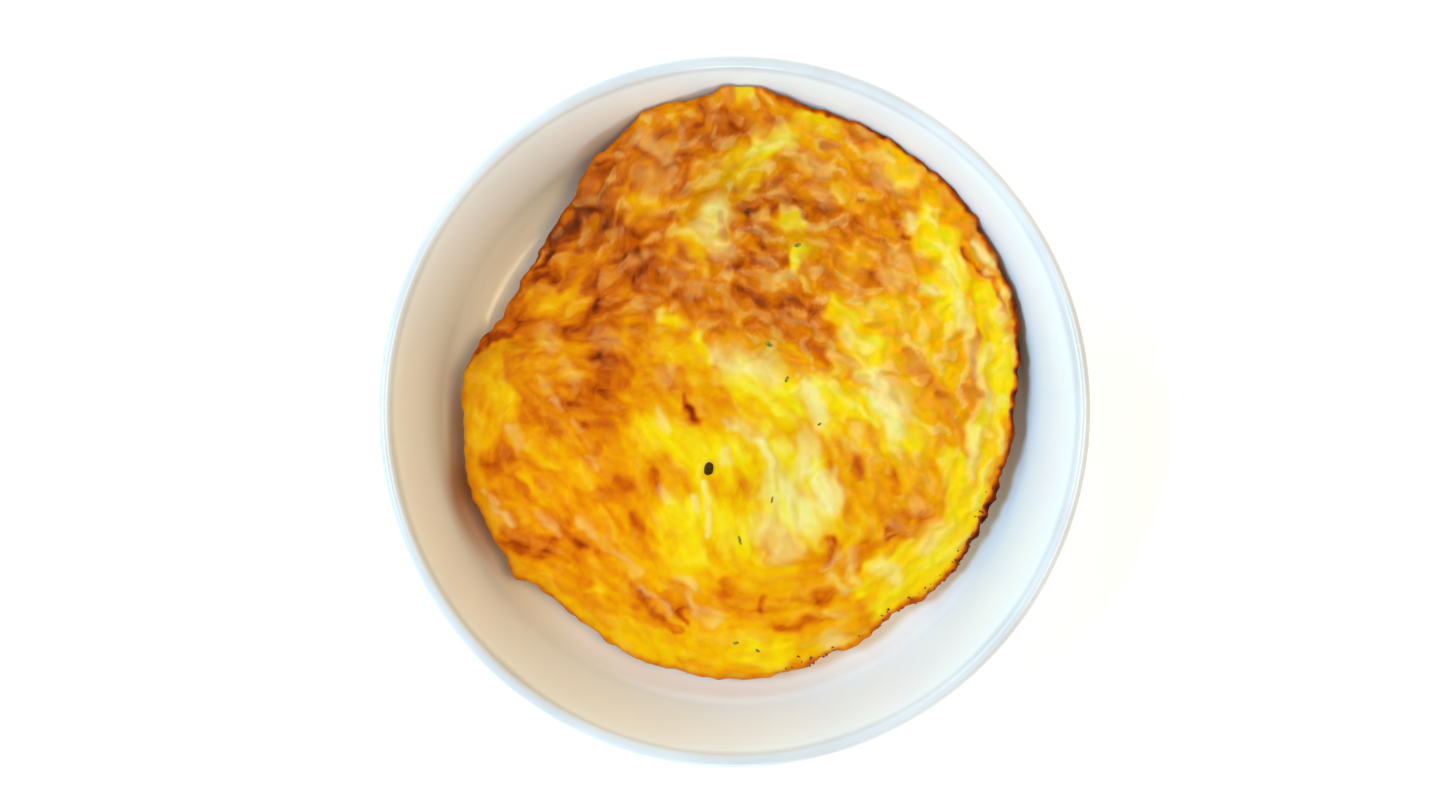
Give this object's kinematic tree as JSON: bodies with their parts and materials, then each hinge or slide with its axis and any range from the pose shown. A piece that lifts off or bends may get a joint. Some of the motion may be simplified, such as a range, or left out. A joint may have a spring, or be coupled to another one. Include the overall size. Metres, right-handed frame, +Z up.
{
  "type": "fried egg in a round dish",
  "caption": "Browned, folded fried egg filling a deep, round, white glazed dish on a low foot ring; one still piece for a table setting.",
  "frame": {"origin": "centre of the dish's foot ring, on the surface it stands on", "axes": "+Z up along the dish's axis; +Y towards the far edge, where the egg leans up the wall; +X to the right as the dish is seen from the near side"},
  "size_m": [0.17, 0.17, 0.04],
  "materials": {
    "glaze": "white glazed ceramic, glossy",
    "egg": "cooked egg, browned in patches, moist"
  },
  "bodies": {
    "root": {"dish": "glaze", "fried_egg": "egg"}
  },
  "joints": []
}
